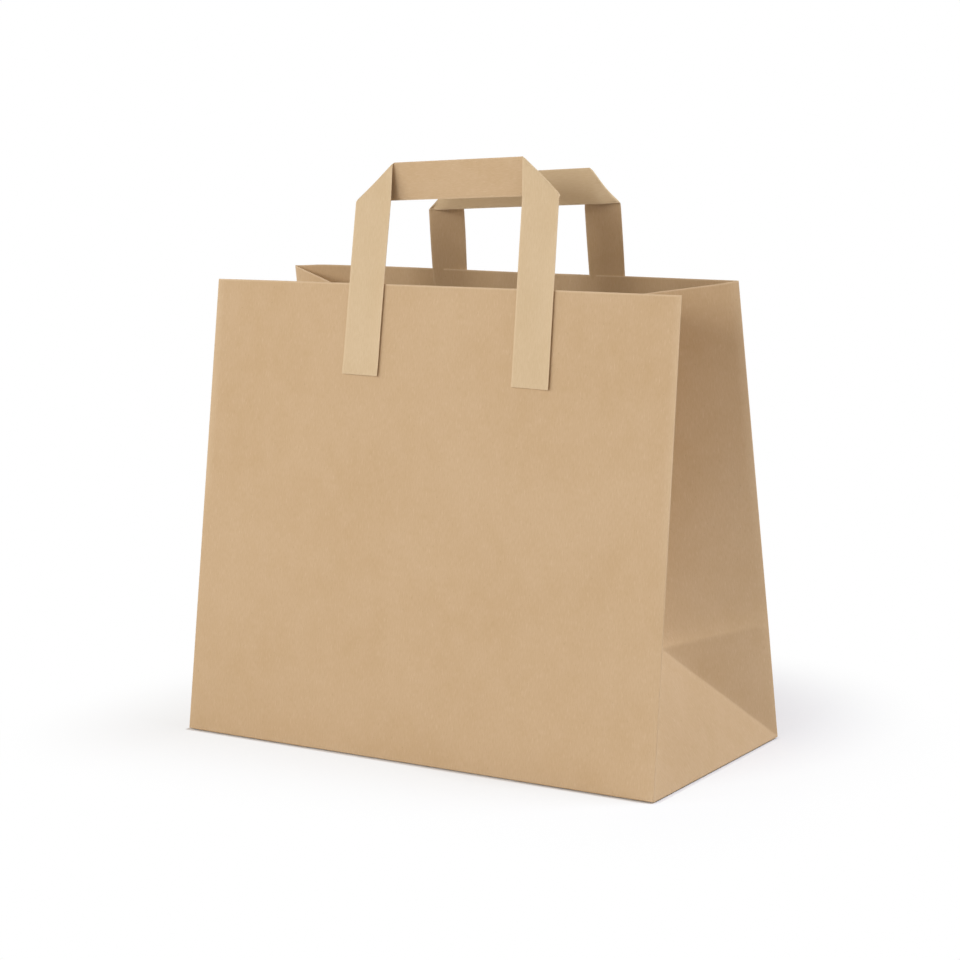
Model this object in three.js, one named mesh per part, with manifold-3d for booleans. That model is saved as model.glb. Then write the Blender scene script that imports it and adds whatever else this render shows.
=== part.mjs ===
// A kraft paper carrier bag with two flat paper handles, standing open on its block bottom.
// Millimetres, +Z up, the front faces -Y. The origin is the middle of the base, on the ground.
import * as THREE from "three";
import { mergeVertices } from "three/addons/utils/BufferGeometryUtils.js";
import Module from "manifold-3d";

// The bag: one gusseted tube of kraft paper, folded and glued at its bottom.
const WIDTH = 260; // front panel, from side fold to side fold
const DEPTH = 120; // block bottom, front to back, which is also the width of a gusset opened flat
const HEIGHT = 220; // paper from the bottom fold up to the cut rim
const PLY = 0.15; // one thickness of the bag's paper
const FRONT_LEAN = 37; // how far the front rim stands back from the front bottom fold
const BACK_LEAN = 30; // how far the back rim stands forward of the back bottom fold
const RIM_DRAW = 3.4; // how far each side fold draws in on its way up to the rim
const FLAP_LAP = 25; // glued lap of the two long bottom flaps
const SEAM_LAP = 18; // glued lap that closes the tube, down the back panel
const SEAM_INSET = 22; // from the side fold to that lap

// The handles: paper strap folded over at 45 degrees in two corners, and glued outside the panels.
const STRAP_WIDTH = 20;
const STRAP_THICKNESS = 0.6; // paper tape folded into a few plies
const LEG_PITCH = 93; // centre line to centre line of a handle's legs
const LEG_LENGTH = 101; // from a leg's cut end up to the top edge of the bar
const GLUE_GAP = 0.3; // between a leg and its panel
const FRONT_RISE = 58; // top edge of the front bar above the front rim, along the panel
const BACK_RISE = 51; // the same at the back, where the strap is glued lower
const FRONT_OFFSET = 5; // middle of the front handle to the right of the panel's middle
const BACK_OFFSET = 14; // the same at the back, still along +X

const STRIP_STEPS = 8; // bands of facets up the part of a gusset that bends

const wasm = await Module();
wasm.setup();

const kraft = new THREE.MeshStandardMaterial({ color: "#c8ab82", roughness: 0.9, metalness: 0 });
const strapKraft = new THREE.MeshStandardMaterial({ color: "#d3b995", roughness: 0.9, metalness: 0 });

const half = WIDTH / 2;
const gusset = DEPTH / 2; // paper from a side fold to the gusset's middle crease
const base = 2 * PLY; // the tube stands on two plies of flap

// The move that takes a panel's own frame (x along it, -Y outwards, z up the paper) to the bag.
function panelFrame(isFront) {
  const tilt = Math.asin((isFront ? FRONT_LEAN : BACK_LEAN) / HEIGHT);
  const frame = new THREE.Matrix4();
  if (isFront) frame.makeRotationX(-tilt).setPosition(0, -gusset, base);
  else frame.makeRotationX(tilt).setPosition(0, gusset, base);
  if (!isFront) frame.multiply(new THREE.Matrix4().makeRotationZ(Math.PI));
  return frame;
}

// A point on a panel's right-hand side fold, at a height up the paper.
function foldPoint(isFront, height) {
  const x = half - RIM_DRAW * (height / HEIGHT);
  return new THREE.Vector3(isFront ? x : -x, 0, height).applyMatrix4(panelFrame(isFront));
}

// Where the two diagonal folds of a gusset meet, as far from each bottom corner as on flat paper.
function diagonalsMeet() {
  const tilt = Math.asin((FRONT_LEAN + BACK_LEAN) / 2 / HEIGHT);
  const rise = gusset * Math.sqrt((1 - Math.sin(tilt)) / (1 + Math.sin(tilt)));
  return new THREE.Vector3(half - Math.sqrt(gusset ** 2 - rise ** 2), 0, base + rise);
}

// The point at given distances from three others, on the side of them that -X is on.
function threeDistances(a, toA, b, toB, c, toC) {
  const ex = b.clone().sub(a).normalize();
  const ac = c.clone().sub(a);
  const along = ex.dot(ac);
  const ey = ac.clone().addScaledVector(ex, -along).normalize();
  const ez = ex.clone().cross(ey);
  const ab = a.distanceTo(b);
  const x = (toA ** 2 - toB ** 2 + ab ** 2) / (2 * ab);
  const up = ey.dot(ac);
  const y = (toA ** 2 - toC ** 2 + along ** 2 + up ** 2 - 2 * along * x) / (2 * up);
  const z = Math.sqrt(toA ** 2 - x ** 2 - y ** 2);
  const foot = a.clone().addScaledVector(ex, x).addScaledVector(ey, y);
  return foot.addScaledVector(ez, ez.x > 0 ? -z : z);
}

const meet = diagonalsMeet();
// The upper end of the gusset's middle crease keeps its paper distances to both side folds.
const creaseTop = threeDistances(
  foldPoint(true, HEIGHT), gusset, foldPoint(false, HEIGHT), gusset, meet, HEIGHT - gusset);

// Eight points round the bag at a height up the paper, from the front left fold, seen from above
// against the clock. On a gusset the two inner points are the diagonals, then the middle crease.
function ring(height) {
  const front = foldPoint(true, height);
  const back = foldPoint(false, height);
  let inFront = meet.clone().lerp(creaseTop, (height - gusset) / (HEIGHT - gusset));
  let inBack = inFront;
  if (height < gusset) {
    inFront = foldPoint(true, 0).lerp(meet, height / gusset);
    inBack = foldPoint(false, 0).lerp(meet, height / gusset);
  }
  const right = [front, inFront, inBack, back];
  const left = right.map((p) => new THREE.Vector3(-p.x, p.y, p.z)).reverse();
  return [left[3], ...right, ...left.slice(0, 3)];
}

// The tube's outer surface with its bottom, open at the rim, as merged vertices.
function bagSurface() {
  const heights = [0, gusset];
  for (let i = 1; i <= STRIP_STEPS; i++) heights.push(gusset + ((HEIGHT - gusset) * i) / STRIP_STEPS);
  const rings = heights.map(ring);
  const corners = [];
  for (let r = 0; r + 1 < rings.length; r++) {
    rings[r].forEach((a, i) => {
      const next = (i + 1) % rings[r].length;
      const [b, c, d] = [rings[r][next], rings[r + 1][next], rings[r + 1][i]];
      corners.push(a, b, c, a, c, d);
    });
  }
  const [frontLeft, frontRight, , , backRight, backLeft] = rings[0];
  corners.push(frontLeft, backRight, frontRight, frontLeft, backLeft, backRight);
  return mergeVertices(new THREE.BufferGeometry().setFromPoints(corners), PLY / 100);
}

// Triangles of an indexed geometry, without those that merging has closed up.
function trianglesOf(geometry) {
  const triangles = [];
  for (let i = 0; i < geometry.index.count; i += 3) {
    const [a, b, c] = [0, 1, 2].map((k) => geometry.index.getX(i + k));
    if (a !== b && b !== c && c !== a) triangles.push([a, b, c]);
  }
  return triangles;
}

// For each vertex, the move that lies a wall's thickness behind every face that meets there.
function inwardMoves(points, triangles, wall) {
  const sums = points.map(() => {
    // The small start keeps a fold's move from running off along the paper.
    return { square: new THREE.Matrix3().multiplyScalar(1e-3), pull: new THREE.Vector3() };
  });
  for (const triangle of triangles) {
    const normal = new THREE.Triangle(...triangle.map((i) => points[i])).getNormal(new THREE.Vector3());
    const n = normal.toArray();
    for (const i of triangle) {
      sums[i].pull.addScaledVector(normal, -wall);
      sums[i].square.elements.forEach((_, k, all) => (all[k] += n[k % 3] * n[Math.floor(k / 3)]));
    }
  }
  return sums.map(({ square, pull }) => pull.applyMatrix3(square.invert()));
}

// A closed wall of even thickness behind an open surface.
function wallBehind(surface, wall) {
  const position = surface.getAttribute("position");
  const outer = Array.from({ length: position.count }, (_, i) =>
    new THREE.Vector3().fromBufferAttribute(position, i));
  const triangles = trianglesOf(surface);
  const moves = inwardMoves(outer, triangles, wall);
  const points = [...outer, ...outer.map((p, i) => p.clone().add(moves[i]))];
  const faces = [];
  const edges = new Set(triangles.flatMap(([a, b, c]) => [a + "," + b, b + "," + c, c + "," + a]));
  for (const [a, b, c] of triangles) {
    const [p, q, r] = [a, b, c].map((i) => i + outer.length);
    faces.push(a, b, c, p, r, q);
    for (const [s, t] of [[a, b], [b, c], [c, a]]) {
      if (edges.has(t + "," + s)) continue;
      faces.push(t, s, s + outer.length, t, s + outer.length, t + outer.length);
    }
  }
  return new THREE.BufferGeometry().setFromPoints(points).setIndex(faces);
}

// A geometry as a solid that can be joined to others.
function solid(geometry) {
  const bare = new THREE.BufferGeometry().setAttribute("position", geometry.getAttribute("position"));
  const merged = mergeVertices(bare.setIndex(geometry.index), 1e-4);
  return new wasm.Manifold(new wasm.Mesh({
    numProp: 3,
    vertProperties: new Float32Array(merged.getAttribute("position").array),
    triVerts: new Uint32Array(trianglesOf(merged).flat()),
  }));
}

function namedMesh(made, name, material) {
  const { vertProperties, triVerts } = made.getMesh();
  const geometry = new THREE.BufferGeometry()
    .setAttribute("position", new THREE.BufferAttribute(vertProperties, 3))
    .setIndex(new THREE.BufferAttribute(triVerts, 1));
  geometry.computeVertexNormals();
  const mesh = new THREE.Mesh(geometry, material);
  mesh.name = name;
  return mesh;
}

// A flat plate from an outline in x and height, between two distances out from the panel.
function plate(outline, near, far) {
  const shape = new THREE.Shape(outline.map(([x, height]) => new THREE.Vector2(x, height)));
  const made = new THREE.ExtrudeGeometry(shape, { depth: far - near, bevelEnabled: false });
  return made.rotateX(Math.PI / 2).translate(0, -near, 0);
}

// A bottom flap: its ends are cut back at 45 degrees by the folds at the bottom's corners.
function bottomFlap(fromBack, low, high) {
  const reach = (DEPTH + FLAP_LAP) / 2;
  const outline = [[-half, 0], [half, 0], [half - reach, reach], [reach - half, reach]];
  const flap = plate(outline, low, high).rotateX(-Math.PI / 2).translate(0, -gusset, 0);
  return fromBack ? flap.rotateZ(Math.PI) : flap;
}

// The inside of the bottom between the two end flaps, where the long flaps lie one ply lower.
function floorBetweenEnds() {
  const width = WIDTH - DEPTH - FLAP_LAP;
  const depth = DEPTH - 4 * PLY;
  return new THREE.BoxGeometry(width, depth, 2 * PLY).translate(0, 0, base + PLY);
}

function bagBody() {
  const walls = wallBehind(bagSurface(), PLY);
  const insideWall = base + PLY / 2;
  // The front flap is folded in last, so it is the outermost ply and the one that rests.
  const frontFlap = bottomFlap(false, 0, insideWall);
  const backFlap = bottomFlap(true, PLY, insideWall);
  const seamStart = half - SEAM_INSET - SEAM_LAP;
  const seam = plate(
    [[seamStart, 0], [seamStart + SEAM_LAP, 0], [seamStart + SEAM_LAP, HEIGHT], [seamStart, HEIGHT]],
    -PLY / 2, PLY);
  seam.applyMatrix4(panelFrame(false));
  const joined = [frontFlap, backFlap, seam].reduce((made, piece) => made.add(solid(piece)), solid(walls));
  return joined.subtract(solid(floorBetweenEnds()));
}

// One handle in its panel's frame, from its middle and the height of its bar's top edge.
function handle(middle, top) {
  const outer = (LEG_PITCH + STRAP_WIDTH) / 2;
  const inner = outer - STRAP_WIDTH;
  const foot = top - LEG_LENGTH;
  const under = top - STRAP_WIDTH;
  const legs = [-1, 1].map((side) => {
    const outline = [[inner, foot], [outer, foot], [outer, under], [inner, top]];
    const placed = outline.map(([x, height]) => [middle + side * x, height]);
    return solid(plate(side > 0 ? placed : placed.reverse(), GLUE_GAP, GLUE_GAP + STRAP_THICKNESS));
  });
  const bar = [[-outer, under], [outer, under], [inner, top], [-inner, top]];
  const placedBar = bar.map(([x, height]) => [middle + x, height]);
  const folded = solid(plate(placedBar, GLUE_GAP - STRAP_THICKNESS, GLUE_GAP));
  return legs.reduce((made, leg) => made.add(leg), folded);
}

function placedHandle(isFront) {
  const middle = isFront ? FRONT_OFFSET : -BACK_OFFSET;
  const top = HEIGHT + (isFront ? FRONT_RISE : BACK_RISE);
  const mesh = namedMesh(handle(middle, top), isFront ? "front_handle" : "back_handle", strapKraft);
  mesh.applyMatrix4(panelFrame(isFront));
  return mesh;
}

const bag = new THREE.Group();
bag.add(namedMesh(bagBody(), "bag_body", kraft), placedHandle(true), placedHandle(false));

export default bag;
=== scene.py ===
import math

import bmesh
import bpy
from mathutils import Matrix, Vector, noise


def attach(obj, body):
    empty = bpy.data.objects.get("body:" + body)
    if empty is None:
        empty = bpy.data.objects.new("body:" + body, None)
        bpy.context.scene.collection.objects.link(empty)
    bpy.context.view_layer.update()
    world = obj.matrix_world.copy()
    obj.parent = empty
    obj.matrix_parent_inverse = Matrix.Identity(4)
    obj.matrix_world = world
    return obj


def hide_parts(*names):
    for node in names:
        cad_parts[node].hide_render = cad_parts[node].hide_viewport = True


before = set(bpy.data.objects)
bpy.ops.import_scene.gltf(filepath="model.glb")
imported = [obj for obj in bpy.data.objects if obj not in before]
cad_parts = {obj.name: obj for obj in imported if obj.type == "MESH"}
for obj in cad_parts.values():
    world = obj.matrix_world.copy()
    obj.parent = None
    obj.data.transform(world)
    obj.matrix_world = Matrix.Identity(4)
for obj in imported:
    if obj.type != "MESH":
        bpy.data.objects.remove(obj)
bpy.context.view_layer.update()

# The bag: one sheet of unbleached kraft paper, printed with nothing. A machine wraps it into a tube,
# glues its two ends in a lap down the back, tucks in two gussets, and folds and glues the bottom flat.
WIDTH = 0.260  # front panel, from side fold to side fold
DEPTH = 0.120  # block bottom, front to back, and a gusset opened flat
HEIGHT = 0.220  # paper from the bottom fold to the cut rim
HALF = WIDTH / 2
GUSSET = DEPTH / 2  # from a side fold to the crease down the gusset's middle
AROUND = 2 * (WIDTH + DEPTH)
PLY = 0.00015  # one thickness of the paper
BASE = 0.0003  # the bottom folds stand on two plies of flap
FLAP = 0.0725  # reach of each bottom flap: half the depth and half the 25 mm lap
LAP_START = 0.600  # where the sheet starts, measured round the bag from the front left fold
LAP = 0.018  # glued lap that closes the tube
LEAN = {True: 0.0352, False: 0.0276}  # how far the middle of the front and back rim leans in
TWIST = 0.0020  # the rim is a little askew: it leans in more on the right, less on the left
RIM_DRAW = 0.0034  # how far a side fold draws in by the rim
RIM_BOW = 0.0030  # both panels bow backwards by this much in the middle of the rim
SCORE = 0.0565  # height on the back of the score at which the flat bag's bottom was folded up
SCORE_BUMP = 0.0004  # how far it still stands proud of the back
SLACK = 0.0008  # how much higher the diagonals meet than in a perfectly taut bag
CELL = 0.005  # squares of the sheet's mesh, which divide every fold's place
FOLD_ROUND = 0.0009  # half the width of paper that a fold's rounding takes up
TINY = 1e-6  # a micrometre, which is nothing on a bag
# The paper's waves, broad and fine: their size across and up the paper, and how far they stand off flat.
BROAD_WAVE = (0.085, 0.070, 0.00070)
FINE_WAVE = (0.024, 0.034, 0.00013)
FINE_SEED = 9  # added to a wave's seed, so that its fine part differs
PANEL_SEED = {True: 1, False: 5}  # for the front and the back
PANEL_HELD = 0.03  # a side fold holds its panel straight beside it, over this much paper


def ease(amount):
    amount = min(max(amount, 0), 1)
    return amount * amount * (3 - 2 * amount)


def ripple(a, b, seed):
    """How far paper waves off flat, in metres, at a place on it."""
    waves = 0
    for (wide, high, depth), shift in ((BROAD_WAVE, 0), (FINE_WAVE, FINE_SEED)):
        waves += depth * noise.noise(Vector((a / wide, b / high, seed + shift)))
    return waves


def panel_point(is_front, x, height):
    """A point on the front or back panel: x along the bag, height up the paper, past the rim too."""
    side = x / HALF
    lean = (LEAN[is_front] + TWIST * side) / HEIGHT
    up = height / HEIGHT
    bow = RIM_BOW * (1 - side * side) * (up * up if up < 1 else 2 * up - 1)
    wave = ripple(x, height, PANEL_SEED[is_front])
    # The waves start above the bottom fold, and are full a sixth of the way up.
    wave *= ease((HALF - abs(x)) / PANEL_HELD) * ease(up * 6)
    across = height * lean
    if is_front:
        depth = across - GUSSET + bow + wave
    else:
        score = SCORE_BUMP * min(height / SCORE, max(0, (HEIGHT - height) / (HEIGHT - SCORE)))
        depth = GUSSET - across + bow + wave + score
    drawn = x * (1 - RIM_DRAW / HALF * min(up, 1))
    return Vector((drawn, depth, BASE + height * math.sqrt(1 - lean * lean)))


def three_distances(a, to_a, b, to_b, c, to_c):
    """The upper of the two points at given distances from three others."""
    ex = (b - a).normalized()
    ac = c - a
    along = ex.dot(ac)
    ey = (ac - along * ex).normalized()
    ez = ex.cross(ey)
    ab = (b - a).length
    x = (to_a**2 - to_b**2 + ab**2) / (2 * ab)
    up = ey.dot(ac)
    y = (to_a**2 - to_c**2 + along**2 + up**2 - 2 * along * x) / (2 * up)
    z = math.sqrt(max(to_a**2 - x * x - y * y, 0))
    foot = a + x * ex + y * ey
    return max(foot + z * ez, foot - z * ez, key=lambda p: p.z)


def middle_crease(side):
    """A gusset's middle crease as points one cell apart. Each keeps its paper distance to both side
    folds and to the point below, so the paper neither stretches nor shrinks."""
    tilt = math.asin((LEAN[True] + LEAN[False] + 2 * TWIST * side) / 2 / HEIGHT)
    rise = GUSSET * math.sqrt((1 - math.sin(tilt)) / (1 + math.sin(tilt)))
    rise += SLACK
    points = [Vector((side * (HALF - math.sqrt(GUSSET**2 - rise**2)), 0, BASE + rise))]
    for step in range(1, round((HEIGHT - GUSSET) / CELL) + 2):
        height = GUSSET + step * CELL
        front = panel_point(True, side * HALF, height)
        back = panel_point(False, side * HALF, height)
        points.append(three_distances(front, GUSSET, back, GUSSET, points[-1], CELL))
    return points


creases = {side: middle_crease(side) for side in (-1, 1)}
RIDGE_PROUD = 0.0008  # how far the score still stands proud of a gusset's rear half
RIDGE_REACH = 0.009  # how far its ridge spreads above and below
RIDGE_WAY = (0.45, -0.9)  # which way it stands out: away from the bag's middle, and forwards
RIDGE_ENDS = 0.003  # it begins over this much paper from the side fold
SUNK = 0.6  # how deep the bend has sunk near the middle crease, as a share of the ridge
SCORE_FADE = 0.06  # height over which the bend above the score dies out


def gusset_point(side, across, height):
    """A point on a gusset, across from its front fold and height up the paper."""
    is_front = across < GUSSET
    inwards = min(across, DEPTH - across)
    if is_front or height <= inwards:
        return gusset_part(side, across, height)
    # The rear half bends along the score, which rises from the side fold to where the diagonals meet.
    to_crease = 1 - inwards / GUSSET
    lift = (GUSSET - SCORE) * to_crease * (1 - ease((height - GUSSET) / SCORE_FADE))
    moved = panel_point(False, side * HALF, height + lift) - panel_point(False, side * HALF, height)
    point = gusset_part(side, across, height + lift) - moved
    # It shows as a low ridge, and near the middle crease it has sunk to a softer bend. The shares are of
    # the way from the middle crease to the side fold.
    off_score = height - SCORE - (GUSSET - SCORE) * (1 - to_crease)
    reach = RIDGE_REACH if off_score > 0 else min(RIDGE_REACH, SCORE * to_crease)
    ridge = ease((to_crease - 0.2) / 0.5)
    sunk = SUNK * ease(to_crease / 0.1) * (1 - ease((to_crease - 0.2) / 0.3))
    swell = (ridge - sunk) * RIDGE_PROUD * ease(inwards / RIDGE_ENDS)
    swell *= max(0, 1 - abs(off_score) / (reach + TINY))
    return point + swell * Vector((RIDGE_WAY[0] * side, RIDGE_WAY[1], 0))


GUSSET_SEED = 20
GUSSET_WAVE = 1.6  # a gusset, which nothing holds, waves this many times as much as a panel
GUSSET_HELD = 0.02  # its folds hold it straight beside them, over this much paper
WAVE_START = 0.04  # height over which its waves grow, above the diagonals


def gusset_part(side, across, height):
    """The same for a gusset without its score."""
    is_front = across < GUSSET
    inwards = min(across, DEPTH - across)
    fold = panel_point(is_front, side * HALF, max(height, inwards) if height < GUSSET else height)
    meet = creases[side][0]
    if height >= GUSSET:
        steps = (height - GUSSET) / CELL
        low = min(int(steps), len(creases[side]) - 2)
        crease = creases[side][low].lerp(creases[side][low + 1], steps - low)
        point = fold.lerp(crease, inwards / GUSSET)
        rise = ease((height - GUSSET) / WAVE_START)
    elif height > inwards:
        # Between the side fold and a diagonal: one flat triangle.
        start = panel_point(is_front, side * HALF, height)
        lower = panel_point(is_front, side * HALF, GUSSET)
        point = start + (meet - lower) * (inwards / GUSSET)
        rise = 0
    else:
        # Below both diagonals: the triangle that stands on the bottom's end fold.
        ends = [panel_point(front, side * HALF, 0) for front in (True, False)]
        point = ends[0].lerp(ends[1], across / DEPTH)
        point += (meet - ends[0].lerp(ends[1], 0.5)) * (height / GUSSET)
        rise = 0
    inside = ease(inwards / GUSSET_HELD) * ease((GUSSET - inwards) / GUSSET_HELD)
    point.x += side * GUSSET_WAVE * ripple(across, height, GUSSET_SEED + side) * inside * rise
    return point


CUT_RISE = {"front": -0.0005, "gusset": 0.0018, "back": 0.0008}  # how far the knife's cut strays
CUT_CLIMB = (0.10, 0.21)  # on the back it climbs between these, measured from the right fold
CUT_DROP = 0.02  # and comes down again over this much paper at the left fold


def cut_height(around):
    """How far the cut rim lies above its nominal height, at a place round the tube."""
    if around <= WIDTH:
        return CUT_RISE["front"]
    if WIDTH + DEPTH <= around <= AROUND - DEPTH:
        from_left = AROUND - DEPTH - around
        climb = ease((WIDTH - from_left - CUT_CLIMB[0]) / (CUT_CLIMB[1] - CUT_CLIMB[0]))
        return CUT_RISE["back"] * climb * ease(from_left / CUT_DROP)
    across = min(around - WIDTH, AROUND - around) / DEPTH
    towards_crease = ease(2 * min(across, 1 - across))
    return CUT_RISE["front"] * (1 - ease(across)) + CUT_RISE["gusset"] * towards_crease


FLAP_DROP = 0.004  # paper over which a flap comes down from its fold and lies flat
END_LEVEL = 3.2 * PLY  # the end flaps lie on both long flaps, and the glue takes up the rest
LAP_LEVEL = 1.2 * PLY  # the back flap climbs on to the front one's edge
LAP_CLIMB = (0.040, 0.045)  # between these reaches from its fold


def flap_level(reach, is_end, is_back):
    """How high a bottom flap's outer face lies at a reach in from its fold."""
    down = ease(reach / FLAP_DROP)
    level = BASE * (1 - down)
    if is_end:
        level += END_LEVEL * down
    elif is_back:
        level += LAP_LEVEL * ease((reach - LAP_CLIMB[0]) / (LAP_CLIMB[1] - LAP_CLIMB[0]))
    return level


COVERED = 1.1 * PLY  # the sheet's end that the lap covers lies this much further in
COVERED_FADE = 0.008  # paper over which it comes out again past the lap


def folded(u, height):
    """Where a point of the flat sheet lies on the bag: u round the tube, height up the paper."""
    around = u % AROUND
    reach = max(0, -height)
    height += cut_height(around) * ease(height / HEIGHT - 0.5) * 2
    # Below the bottom fold, the end flaps keep the lines at which the long flaps are cut away.
    slack = 10 * TINY if reach else -10 * TINY
    if slack < around < WIDTH - slack:
        if reach:
            return Vector((around - HALF, reach - GUSSET, flap_level(reach, False, False)))
        return panel_point(True, around - HALF, height)
    if WIDTH + DEPTH + slack < around < AROUND - DEPTH - slack:
        x = HALF - (around - WIDTH - DEPTH)
        if reach:
            point = Vector((x, GUSSET - reach, flap_level(reach, False, True)))
        else:
            point = panel_point(False, x, height)
        if u < AROUND:
            inner = COVERED * (1 - ease((u - LAP_START - LAP) / COVERED_FADE))
            point += inner * (Vector((0, 0, 1)) if reach else Vector((0, -1, 0)))
        return point
    if around > 2 * WIDTH:
        side, across = -1, AROUND - around
    elif around > WIDTH / 2:
        side, across = 1, around - WIDTH
    else:
        side, across = -1, 0
    across = min(max(across, 0), DEPTH)
    if reach:
        return Vector((side * (HALF - reach), across - GUSSET, flap_level(reach, True, False)))
    return gusset_point(side, across, height)


def fold_distance(u, height):
    """How far a point of the flat sheet is from the nearest fold."""
    around = u % AROUND
    near = [abs(height)]
    if height >= 0:
        near += [abs(around - fold) for fold in (0, WIDTH, WIDTH + DEPTH, AROUND - DEPTH, AROUND)]
        across = around - WIDTH if around < 2 * WIDTH else AROUND - around
        if 0 <= across <= DEPTH:
            inwards = min(across, DEPTH - across)
            if height >= GUSSET:
                near.append(GUSSET - inwards)
            else:
                near.append(abs(height - inwards) / math.sqrt(2))
    return min(near)


def softened(u, height):
    """Near a fold, the mean over a small patch of the sharp shape, which rounds the fold."""
    if fold_distance(u, height) > 2 * FOLD_ROUND:
        return folded(u, height)
    offsets = [FOLD_ROUND * share for share in (-0.75, -0.25, 0.25, 0.75)]
    total = Vector()
    for du in offsets:
        for dh in offsets:
            total += folded(u + du, height + dh)
    return total / len(offsets) ** 2


def cut_along(bm, place, direction, low=-1.0, high=2.0, clear_outer=False):
    """Cuts the flat sheet's mesh along a line, in the strip of it between low and high."""
    middles = {f: f.calc_center_median().x for f in bm.faces}
    faces = [f for f in bm.faces if low < middles[f] < high]
    edges = list({edge for face in faces for edge in face.edges})
    corners = list({vertex for face in faces for vertex in face.verts})
    across = Vector((direction[1], -direction[0], 0)).normalized()
    bmesh.ops.bisect_plane(bm, geom=faces + edges + corners, dist=TINY, plane_co=(*place, 0),
                           plane_no=across, clear_outer=clear_outer)


EDGE_ROW = 0.0004  # a row of mesh this close to each cut edge keeps the paper beside it flat to the eye
RIM_ROW = 0.0010  # and one more at the rim, for its lighter edge of cut pulp and painted highlight
SCORE_ROWS = (-0.0015, 0, 0.0015)
FOLD_STRIP = 0.01  # half the strip of mesh that a fold's rows are cut into


def score_lines(bm):
    """Cuts every fold of the bag into the flat sheet, and the rows beside it that its rounding needs."""
    beside = [FOLD_ROUND * share for share in (-1, -0.5, 0.5, 1)]
    cut_along(bm, (LAP_START + AROUND + LAP, 0), (0, 1), clear_outer=True)
    cut_along(bm, (0, -FLAP), (1, 0), clear_outer=True)
    cut_along(bm, (0, EDGE_ROW - FLAP), (1, 0))
    for end in (LAP_START + EDGE_ROW, LAP_START + AROUND + LAP - EDGE_ROW):
        cut_along(bm, (end, 0), (0, 1))
    for first in (WIDTH + AROUND, 2 * WIDTH + DEPTH):
        last = first + DEPTH
        for fold, slope in ((first, 1), (last, -1)):
            # The gusset's diagonal goes on below the bottom fold as the flap's 45 degree end.
            reach = fold - slope * FLAP, fold + slope * GUSSET
            cut_along(bm, (fold, 0), (1, slope), min(reach), max(reach))
            reach = fold, fold + slope * GUSSET
            for offset in beside:
                place = fold + offset * math.sqrt(2), 0
                cut_along(bm, place, (1, slope), min(reach), max(reach))
        for fold in (first, first + GUSSET, last):
            for offset in beside:
                cut_along(bm, (fold + offset, 0), (0, 1), fold - FOLD_STRIP, fold + FOLD_STRIP)
    # The back left flap's 45 degree end begins on the far side of the lap, at the sheet's other end.
    fold = 2 * WIDTH + DEPTH + AROUND
    cut_along(bm, (fold, 0), (1, 1), fold - FLAP, fold)
    for height in beside + [HEIGHT - RIM_ROW, HEIGHT - EDGE_ROW]:
        cut_along(bm, (0, height), (1, 0))
    # The score runs level over the back, and up each gusset's rear half to where the diagonals meet.
    right, left = AROUND + WIDTH + DEPTH, AROUND - DEPTH
    for offset in SCORE_ROWS:
        cut_along(bm, (0, SCORE + offset), (1, 0), low=right)
        cut_along(bm, (0, SCORE + offset), (1, 0), high=left)
        for fold, sign in ((right, -1), (left, 1)):
            reach = fold, fold + sign * GUSSET
            slope = sign * GUSSET, GUSSET - SCORE
            cut_along(bm, (fold, SCORE + offset), slope, min(reach), max(reach))


def is_trimmed(face):
    """True for the corners of the long flaps, which the 45 degree folds take out of sight."""
    middle = face.calc_center_median()
    around = middle.x % AROUND
    along = min(abs(around - HALF), abs(around - WIDTH - DEPTH - HALF))
    is_long = around < WIDTH or WIDTH + DEPTH < around < AROUND - DEPTH
    return is_long and middle.y < 0 and along > HALF + middle.y


def new_piece(bm, name):
    """A bmesh as a smooth-shaded object at the origin."""
    mesh = bpy.data.meshes.new(name)
    bm.to_mesh(mesh)
    bm.free()
    mesh.shade_smooth()
    piece = bpy.data.objects.new(name, mesh)
    bpy.context.scene.collection.objects.link(piece)
    return piece


def keep_paper_map(bm, wear_and_highlight_at):
    """Keeps each point's place on the flat paper as a UV map, and as an attribute how much it is
    lightened: by wear, and by a painted highlight along folds and edges.
    """
    paper = bm.loops.layers.uv.new("paper")
    wear_and_highlight = bm.verts.layers.float.new("wear_and_highlight")
    for vertex in bm.verts:
        vertex[wear_and_highlight] = wear_and_highlight_at(vertex.co)
        for loop in vertex.link_loops:
            loop[paper].uv = vertex.co.xy


FOLD_WEAR_AND_HIGHLIGHT = 0.0016  # how far from a fold its lightening reaches: rubbed fibres, and a painted highlight where the rounded fold catches light
RIM_WEAR_AND_HIGHLIGHT = 0.0008  # and from the cut rim, which is lighter pulp with a painted highlight on it
LOW_WEAR_AND_HIGHLIGHT = 0.2  # how light the folds near the bottom are, as a share of those near the rim
WEAR_AND_HIGHLIGHT_CLIMB = (0.08, 0.14)  # heights between which the lightening grows, as the painted highlight up the side folds does


def bag_wear_and_highlight(place):
    """Paper is lighter at its cut rim, and along its folds, most of all up the sides: partly rubbed
    fibres and cut pulp, partly a painted highlight.
    """
    fold = 1 - fold_distance(place.x, place.y) / FOLD_WEAR_AND_HIGHLIGHT
    climb = ease((place.y - WEAR_AND_HIGHLIGHT_CLIMB[0]) / (WEAR_AND_HIGHLIGHT_CLIMB[1] - WEAR_AND_HIGHLIGHT_CLIMB[0]))
    fold *= LOW_WEAR_AND_HIGHLIGHT + (1 - LOW_WEAR_AND_HIGHLIGHT) * climb
    rim = 1.2 - (HEIGHT - place.y) / RIM_WEAR_AND_HIGHLIGHT
    return min(max(fold, rim, 0), 1)


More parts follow.
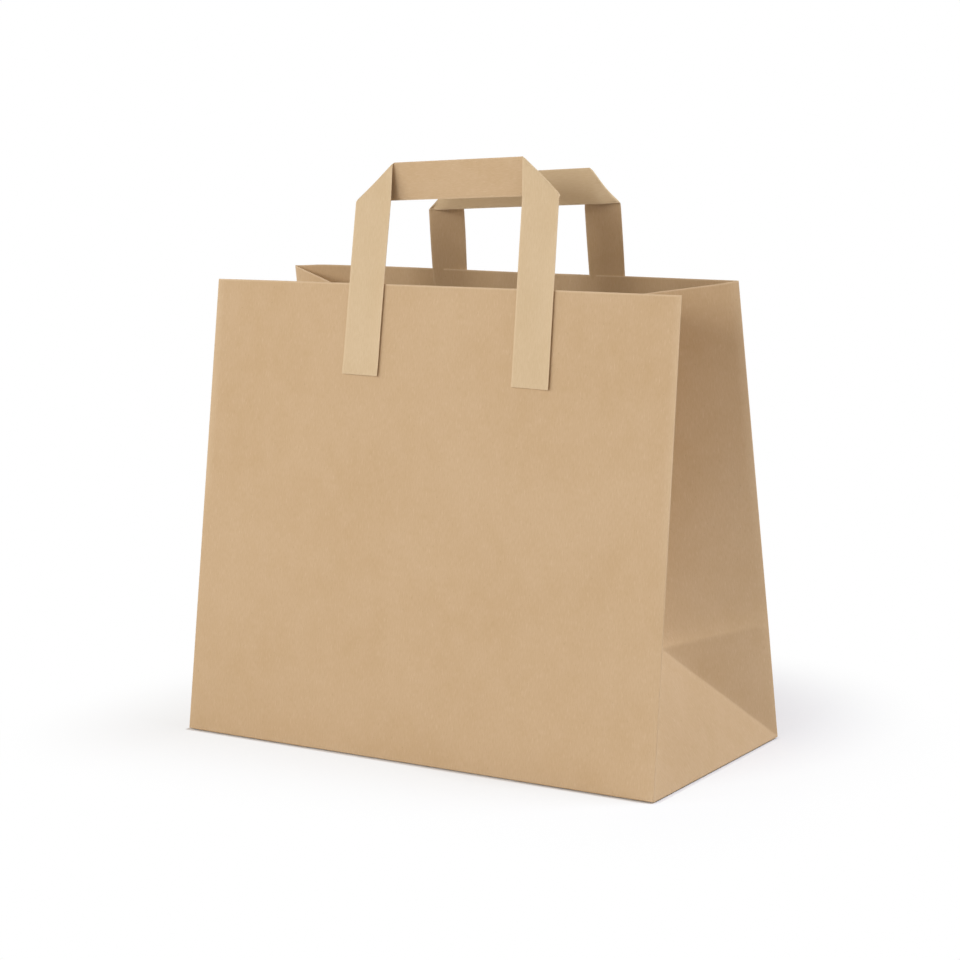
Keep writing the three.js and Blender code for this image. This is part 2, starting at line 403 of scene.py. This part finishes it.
def make_bag():
    bm = bmesh.new()
    columns, rows = math.ceil((AROUND + LAP) / CELL), math.ceil((HEIGHT + FLAP) / CELL)
    bmesh.ops.create_grid(bm, x_segments=columns, y_segments=rows, size=0.5)
    size = Matrix.Diagonal((columns * CELL, rows * CELL, 1, 1))
    place = Matrix.Translation((LAP_START + columns * CELL / 2, HEIGHT - rows * CELL / 2, 0))
    bmesh.ops.transform(bm, matrix=place @ size, verts=bm.verts)
    score_lines(bm)
    bmesh.ops.delete(bm, geom=[f for f in bm.faces if is_trimmed(f)], context="FACES")
    keep_paper_map(bm, bag_wear_and_highlight)
    for vertex in bm.verts:
        vertex.co = softened(vertex.co.x, vertex.co.y)
    return new_piece(bm, "paper_bag")


def linear(hex_colour):
    """An sRGB colour such as "#C8AB82" as the linear colour that a node takes."""
    shares = [int(hex_colour[i : i + 2], 16) / 255 for i in (1, 3, 5)]
    return (*[s / 12.92 if s <= 0.04045 else ((s + 0.055) / 1.055) ** 2.4 for s in shares], 1)


def add(tree, kind, inputs=None, **settings):
    """Adds a node with its settings. An input is a value, or the socket that is linked to it."""
    made = tree.nodes.new("ShaderNode" + kind)
    for name, value in settings.items():
        setattr(made, name, value)
    for key, value in (inputs or {}).items():
        if isinstance(value, bpy.types.NodeSocket):
            tree.links.new(value, made.inputs[key])
        else:
            made.inputs[key].default_value = value
    return made


PULP_AND_HIGHLIGHT_COLOUR = "#EBD7B8"  # the colour of kraft's inside, where it is rubbed or cut, also used to paint the highlight along folds and edges
WEAR_AND_HIGHLIGHT_SHARE = 0.38  # how much of it shows where the paper is lightest
ROUGHNESS = (0.80, 0.92)  # uncoated paper, where its pulp is dense and where it is loose
RELIEF = 0.00008  # how far the clouds of pulp and the fibres stand proud
RELIEF_STRENGTH = 0.3
SPECULAR = 0.30  # paper has no skin of size or coating, so it reflects less than plastic


def kraft_paper(name, tones, layers):
    """Uncoated machine-made kraft. tones are its darkest and lightest plain colour. Each layer is its
    size in metres, how far it is drawn out along the web, where it starts and is full, its strength and
    its colour, which may be None for a layer that only mixes the two tones."""
    material = bpy.data.materials.new(name)
    material.use_nodes = True
    tree = material.node_tree
    paper = add(tree, "UVMap", uv_map="paper").outputs[0]
    colour = linear(tones[0])
    amounts = []
    for number, (size, drawn_out, start, full, strength, tint) in enumerate(layers):
        move = {"Location": (number, number, 0), "Scale": (1, 1 / drawn_out, 1)}
        place = add(tree, "Mapping", {"Vector": paper, **move})
        look = {"Vector": place.outputs[0], "Scale": 1 / size, "Detail": 3.0}
        found = add(tree, "TexNoise", look, noise_dimensions="2D").outputs[0]
        reach = {"Value": found, "From Min": start, "From Max": full, "To Max": strength}
        amount = add(tree, "MapRange", reach).outputs[0]
        mix = {"Factor": amount, 6: colour, 7: linear(tint or tones[1])}
        colour = add(tree, "Mix", mix, data_type="RGBA").outputs[2]
        amounts.append(amount)
    # A rubbed fold or a cut edge shows the paper's lighter inside, and the same mix paints a highlight
    # along folds and edges.
    wear_and_highlight = add(tree, "Attribute", attribute_name="wear_and_highlight").outputs["Fac"]
    wear_and_highlight = add(tree, "MapRange", {"Value": wear_and_highlight, "To Max": WEAR_AND_HIGHLIGHT_SHARE}).outputs[0]
    mix = {"Factor": wear_and_highlight, 6: colour, 7: linear(PULP_AND_HIGHLIGHT_COLOUR)}
    colour = add(tree, "Mix", mix, data_type="RGBA").outputs[2]
    # The dry, matt surface is a little smoother where the pulp is dense, and the fibres stand proud.
    reach = {"Value": amounts[0], "To Min": ROUGHNESS[0], "To Max": ROUGHNESS[1]}
    roughness = add(tree, "MapRange", reach).outputs[0]
    relief = add(tree, "Math", {0: amounts[0], 1: amounts[2]}, operation="ADD").outputs[0]
    stand = {"Height": relief, "Strength": RELIEF_STRENGTH, "Distance": RELIEF}
    bump = add(tree, "Bump", stand).outputs[0]
    shader = tree.nodes["Principled BSDF"]
    for socket, value in (("Base Color", colour), ("Roughness", roughness), ("Normal", bump)):
        tree.links.new(value, shader.inputs[socket])
    shader.inputs["Specular IOR Level"].default_value = SPECULAR
    return material


bag = make_bag()
# Unbleached machine-finished kraft: soft clouds of pulp 5 to 15 mm across, slow drifts in tone over a
# few centimetres, and fibres along the web. Real fibres are 0.02 mm thick, and are drawn as 0.5 mm
# bundles so that they show.
bag_layers = (
    (0.009, 1.3, 0.30, 0.70, 0.45, None),
    (0.055, 1.0, 0.30, 0.70, 0.55, None),
    (0.0005, 5.0, 0.35, 0.75, 0.16, "#A98455"),
    (0.0006, 7.0, 0.60, 0.78, 0.20, "#E6D2B0"),  # pale shives
    (0.0011, 1.6, 0.73, 0.77, 0.16, "#7A5A36"),  # specks of bark
)
bag.data.materials.append(kraft_paper("kraft_paper_uncoated", ("#C7AA84", "#CFB491"), bag_layers))
wall = bag.modifiers.new("paper_thickness", "SOLIDIFY")
wall.thickness = PLY
wall.offset = -1
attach(bag, "root")
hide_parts("bag_body")

# The two handles: each is one strap of paler kraft tape, folded lengthwise into plies and pressed. It is
# folded over at 45 degrees in two corners, so its bar lies behind its legs, and its feet are glued on.
STRAP_WIDTH = 0.020
STRAP_THICKNESS = 0.0006
LEG_PITCH = 0.093  # centre line to centre line of the legs
FOOT = {True: 0.044, False: 0.050}  # how far the front and back legs reach down from the rim
TURN = 0.00035  # radius of the middle of the strap where it is folded back on itself
NOSE = math.pi * TURN  # strap taken up by one such fold
ABOVE_RIM = {True: 0.0499, False: 0.0420}  # how far the front and back legs reach up to their corners
STRAP_CELL = 0.0025  # length of the strap's mesh cells
STRAP_ROWS = 12  # cells across it
SPRING = 3.0  # the larger, the sooner past a corner the bar has swung in
SPLAY_REACH = 0.027  # how far along the bar a corner's splay is felt
FOOT_LIFT = 0.0002  # how far the cut end of a foot lifts off the panel
LIFT_REACH = 0.006  # and how far up the foot that is felt
CURL_POWER = 4  # a foot's edge curls off only close to the edge
UPWARDS_STEP = 0.001  # the length of panel over which its slope is taken


def strap_point(is_front, along, across, length, shape):
    """Where a point of the flat strap lies. along is from the left foot's cut end, across is positive
    towards the loop's inside, and the right half is the left half in a mirror."""
    side = -1 if along < length / 2 else 1
    from_foot = along if side < 0 else length - along
    corner = (length - LEG_PITCH) / 2 - NOSE / math.sqrt(2)
    past = (from_foot - corner - across) / math.sqrt(2)
    up, x, out = from_foot, across, TURN
    if past > 0:
        # The strap turns back on itself round a small nose, and then runs on as the bar.
        turned = min(past, NOSE)
        bend = TURN * math.sin(turned / TURN)
        spent = (turned - bend) / math.sqrt(2)
        up, x = from_foot - spent, across + spent
        out = TURN * math.cos(turned / TURN)
        if past > NOSE:
            up, x = corner + x, up - corner
            # The fold springs open a little, which lets the bar's lower edge swing in.
            below = max(0, corner + (STRAP_WIDTH + math.sqrt(2) * NOSE) / 2 - up)
            hinge = past - NOSE
            swing = shape["swing"] * ease(SPRING * hinge / (below + hinge + TINY))
            out -= below * math.sin(swing)
            up += below * (1 - math.cos(swing))
    x = side * (LEG_PITCH / 2 - x)
    under = corner - STRAP_WIDTH / 2
    raised = max(0, up - under)
    up = min(up, under) + raised * shape["bar"]
    edge = abs(x) - (LEG_PITCH - STRAP_WIDTH) / 2
    splay = ease(1 + edge / SPLAY_REACH) * (1 - ease(edge / STRAP_WIDTH)) * raised / STRAP_WIDTH
    x += side * shape["splay"][side] * splay
    rise = min(up / corner, 1)
    middle, pitch = [low + (high - low) * rise for low, high in (shape["middle"], shape["pitch"])]
    slant = shape["slant"][0] + (shape["slant"][1] - shape["slant"][0]) * rise
    height = HEIGHT - FOOT[is_front] + up + slant * x
    x = middle + x * pitch / LEG_PITCH
    # Above the rim each leg is twisted a little, and below it one edge and the cut end lift off.
    twist = shape["twist"][side] * ease(2 * rise - 0.6) if past < NOSE else 0
    to_edge = max(0, -side * across / (STRAP_WIDTH / 2))
    curl = shape["curl"] * to_edge**CURL_POWER if past < 0 else 0
    lift = FOOT_LIFT * (1 - ease(up / LIFT_REACH)) + curl + twist * side * across
    start = panel_point(is_front, x, height)
    upwards = (panel_point(is_front, x, height + UPWARDS_STEP) - start).normalized()
    outwards = Vector((1, 0, 0)).cross(upwards) * (1 if is_front else -1)
    return start + outwards * (out + lift)


STRAP_EDGE_ROWS = (0.0004, 0.0010)  # rows of mesh this far from the strap's long edges
STRAP_WEAR_AND_HIGHLIGHT = 0.0020  # how far from them its lightening reaches: wear, and a painted highlight along the edges
PRESSED_EDGE = 0.0012  # width that is pressed thin along them, where the plies are folded over
PRESSED_SHARE = 0.35  # how thick the edge itself still is
EDGE_BEVEL = 0.00006  # the strap's edges are pressed round, not knife-sharp


def make_handle(name, is_front, shape):
    length = 2 * (FOOT[is_front] + ABOVE_RIM[is_front]) + LEG_PITCH
    bm = bmesh.new()
    columns = round(length / STRAP_CELL)
    bmesh.ops.create_grid(bm, x_segments=columns, y_segments=STRAP_ROWS, size=0.5)
    place = Matrix.Translation((length / 2, 0, 0))
    bmesh.ops.transform(bm, matrix=place @ Matrix.Diagonal((length, STRAP_WIDTH, 1, 1)), verts=bm.verts)
    corner = (length - LEG_PITCH) / 2 - NOSE / math.sqrt(2)
    for share in (0, 0.25, 0.5, 0.75, 1):
        reach = corner + share * NOSE * math.sqrt(2)
        cut_along(bm, (reach, 0), (1, 1), corner - STRAP_WIDTH, corner + STRAP_WIDTH)
        mirrored = length - corner
        cut_along(bm, (length - reach, 0), (1, -1), mirrored - STRAP_WIDTH, mirrored + STRAP_WIDTH)
    for offset in STRAP_EDGE_ROWS:
        for side in (-1, 1):
            cut_along(bm, (0, side * (STRAP_WIDTH / 2 - offset)), (1, 0))
    # The strap's long edges are lighter: partly wear, partly a painted highlight.
    keep_paper_map(bm, lambda place: max(0, 0.5 - (STRAP_WIDTH / 2 - abs(place.y)) / STRAP_WEAR_AND_HIGHLIGHT))
    group = bm.verts.layers.deform.new()
    for vertex in bm.verts:
        vertex[group][0] = ease((STRAP_WIDTH / 2 - abs(vertex.co.y)) / PRESSED_EDGE)
    paper = bm.loops.layers.uv["paper"]
    for loop in [loop for face in bm.faces for loop in face.loops]:
        # The strap's fibres run along it, as the bag's run up it.
        loop[paper].uv = loop[paper].uv.yx
    for vertex in bm.verts:
        vertex.co = strap_point(is_front, vertex.co.x, vertex.co.y, length, shape)
    bmesh.ops.recalc_face_normals(bm, faces=bm.faces)
    handle = new_piece(bm, name)
    thickness = handle.modifiers.new("strap_thickness", "SOLIDIFY")
    thickness.thickness = STRAP_THICKNESS
    thickness.offset = 0
    thickness.vertex_group = handle.vertex_groups.new(name="full_thickness").name
    thickness.thickness_vertex_group = PRESSED_SHARE
    thickness.material_offset = 1
    edges = handle.modifiers.new("strap_edges", "BEVEL")
    edges.width = EDGE_BEVEL
    edges.segments = 2
    edges.limit_method = "ANGLE"
    edges.angle_limit = math.radians(60)
    return handle


# The outer ply of the tape is a paler kraft, cleaner than the bag's paper: weaker clouds, finer fibres,
# few specks. The side that is glued is the bag's own brown kraft, and the fold turns it out on the bar.
strap_layers = (
    (0.009, 2.0, 0.30, 0.70, 0.35, None),
    (0.040, 1.0, 0.30, 0.70, 0.45, None),
    (0.0005, 6.0, 0.35, 0.75, 0.13, "#AD8B60"),
    (0.0006, 8.0, 0.60, 0.78, 0.16, "#EBDABC"),
    (0.0010, 1.6, 0.74, 0.78, 0.10, "#83653F"),
)
strap_paper = kraft_paper("kraft_strap_tape", ("#D1B994", "#D9C3A1"), strap_layers)
# What each handle has taken on in use: where its legs stand at the feet and at the top, how its bar
# slants, how far the bar's lower edge has swung in, and how its corners and edges have given.
front_shape = {"middle": (0.0060, 0.0054), "pitch": (0.0952, 0.0930), "slant": (-0.017, 0.043),
               "swing": 0.24, "bar": 0.88, "splay": {-1: 0.0008, 1: -0.0014}, "curl": 0.0007,
               "twist": {-1: 0.02, 1: 0.02}}
back_shape = {"middle": (0.0102, 0.0120), "pitch": (0.0925, 0.0906), "slant": (0.0, 0.048),
              "swing": 0.20, "bar": 0.83, "splay": {-1: 0.0024, 1: 0.0048}, "curl": 0.0002,
              "twist": {-1: -0.11, 1: -0.075}}
for name, is_front, shape in (("front_strap", True, front_shape), ("back_strap", False, back_shape)):
    handle = make_handle(name, is_front, shape)
    sides = [bag.data.materials[0], strap_paper]
    for side in sides if is_front else reversed(sides):
        handle.data.materials.append(side)
    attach(handle, "root")
    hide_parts("front_handle" if is_front else "back_handle")

# The studio: a white table that runs back to a white wall, big soft lamps, and the photo's camera.
FLOOR_REACH = 12.0
FLOOR_DROP = 0.0002  # a hair under the bag, which keeps the two faces apart
SHADOW_MIDDLE = (0.04, 0.054, 0.0)


def seen_rays(tree):
    """1 for the rays that see a surface directly, in a mirror or through glass, and 0 for the rest."""
    rays = add(tree, "LightPath").outputs
    seen = rays["Is Camera Ray"]
    for kind in ("Is Glossy Ray", "Is Transmission Ray"):
        seen = add(tree, "Math", {0: seen, 1: rays[kind]}, operation="MAXIMUM").outputs[0]
    return seen


bm = bmesh.new()
bmesh.ops.create_grid(bm, x_segments=1, y_segments=1, size=FLOOR_REACH)
bmesh.ops.translate(bm, verts=bm.verts, vec=(0, 0, -FLOOR_DROP))
floor = new_piece(bm, "studio_floor")
# A matt white table. Where it is seen, it is lifted to plain white everywhere but in a strip round the
# bag and in the soft shadow behind its right end, so that the table runs into the wall without an edge.
floor_paint = bpy.data.materials.new("white_studio_floor")
floor_paint.use_nodes = True
tree = floor_paint.node_tree
shader = tree.nodes["Principled BSDF"]
shader.inputs["Base Color"].default_value = linear("#F4F7FD")
shader.inputs["Roughness"].default_value = 0.9
shader.inputs["Specular IOR Level"].default_value = 0.0
place = add(tree, "TexCoord").outputs["Object"]
distance = add(tree, "VectorMath", {0: place, 1: SHADOW_MIDDLE}, operation="DISTANCE")
from_shadow = distance.outputs["Value"]
outside = add(tree, "VectorMath", {0: place}, operation="ABSOLUTE").outputs[0]
outside = add(tree, "VectorMath", {0: outside, 1: (HALF, GUSSET, 0)}, operation="SUBTRACT").outputs[0]
outside = add(tree, "VectorMath", {0: outside, 1: (0, 0, 0)}, operation="MAXIMUM").outputs[0]
from_bag = add(tree, "VectorMath", {0: outside}, operation="LENGTH").outputs["Value"]
# How white it is made: in the shadow, in the strip, and in the dark line where the bag touches it.
# Each grows from "To Min" to 1 between two distances, in metres.
shadow = {"Value": from_shadow, "From Min": 0.050, "From Max": 0.162, "To Min": 0.0}
strip = {"Value": from_bag, "From Min": -0.020, "From Max": 0.097, "To Min": 0.715}
contact = {"Value": from_bag, "From Min": 0.0004, "From Max": 0.0025, "To Min": 0.0}
fade = None
for zone in (shadow, strip, contact):
    zone_fade = add(tree, "MapRange", zone, interpolation_type="SMOOTHSTEP").outputs[0]
    if fade:
        zone_fade = add(tree, "Math", {0: fade, 1: zone_fade}, operation="MINIMUM").outputs[0]
    fade = zone_fade
factor = add(tree, "Math", {0: fade, 1: seen_rays(tree)}, operation="MULTIPLY").outputs[0]
white = add(tree, "Emission", {"Color": linear("#FFFFFF"), "Strength": 1.0}).outputs[0]
shown = add(tree, "MixShader", {0: factor, 1: shader.outputs[0], 2: white}).outputs[0]
tree.links.new(shown, tree.nodes["Material Output"].inputs["Surface"])
floor.data.materials.append(floor_paint)

# The wall: plain white where it is seen, and a dimmer, warmer fill where it only lights the paper.
FILL_COLOUR = "#FFE4C2"
FILL_STRENGTH = 0.32
world = bpy.data.worlds.new("white_studio")
bpy.context.scene.world = world
world.use_nodes = True
tree = world.node_tree
direct = seen_rays(tree)
strength = add(tree, "MapRange", {"Value": direct, "To Min": FILL_STRENGTH, "To Max": 1.0}).outputs[0]
mix = {"Factor": direct, 6: linear(FILL_COLOUR), 7: linear("#FFFFFF")}
colour = add(tree, "Mix", mix, data_type="RGBA").outputs[2]
background = tree.nodes["Background"]
tree.links.new(strength, background.inputs["Strength"])
tree.links.new(colour, background.inputs["Color"])


BAG_MIDDLE = (0, 0, 0.12)


def add_lamp(name, place, size, power, colour):
    """A soft box that faces the bag: its size in metres and its power in watts."""
    lamp = bpy.data.objects.new(name, bpy.data.lights.new(name, "AREA"))
    lamp.data.color = linear(colour)[:3]
    bpy.context.scene.collection.objects.link(lamp)
    lamp.data.shape = "RECTANGLE"
    lamp.data.size, lamp.data.size_y = size
    lamp.data.energy = power
    lamp.location = place
    lamp.rotation_euler = (Vector(place) - Vector(BAG_MIDDLE)).to_track_quat("Z", "Y").to_euler()


add_lamp("front_softbox", (-0.2, -1.5, 0.65), (0.85, 0.60), 9.3, "#F6FAFF")
add_lamp("left_softbox", (-1.3, -1.2, 1.0), (1.0, 0.8), 9.3, "#FFFFFF")
add_lamp("rear_right_softbox", (1.2, 0.6, 1.7), (1.0, 1.0), 33.0, "#EAF2FF")

# The camera, as fitted to the photo: its place, its focal length in the picture's pixels, and its turn
# to the left, its tilt down and its roll in degrees.
CAMERA_PLACE = (0.6417, -0.9669, 0.3201)
FOCAL_LENGTH, PICTURE_WIDTH = 2494, 960
TURN_LEFT, TILT_DOWN, ROLL = 33.38, 9.63, -1.45
SENSOR_WIDTH = 36
camera = bpy.data.objects.new("camera", bpy.data.cameras.new("camera"))
bpy.context.scene.collection.objects.link(camera)
camera.data.sensor_width = SENSOR_WIDTH
camera.data.lens = FOCAL_LENGTH / PICTURE_WIDTH * SENSOR_WIDTH
camera.data.clip_end = 60
turns = ((TURN_LEFT, "Z"), (90 - TILT_DOWN, "X"), (ROLL, "Z"))
turn, tip, roll = [Matrix.Rotation(math.radians(angle), 4, axis) for angle, axis in turns]
camera.matrix_world = Matrix.Translation(CAMERA_PLACE) @ turn @ tip @ roll
bpy.context.scene.camera = camera
bpy.context.scene.view_settings.view_transform = "Standard"
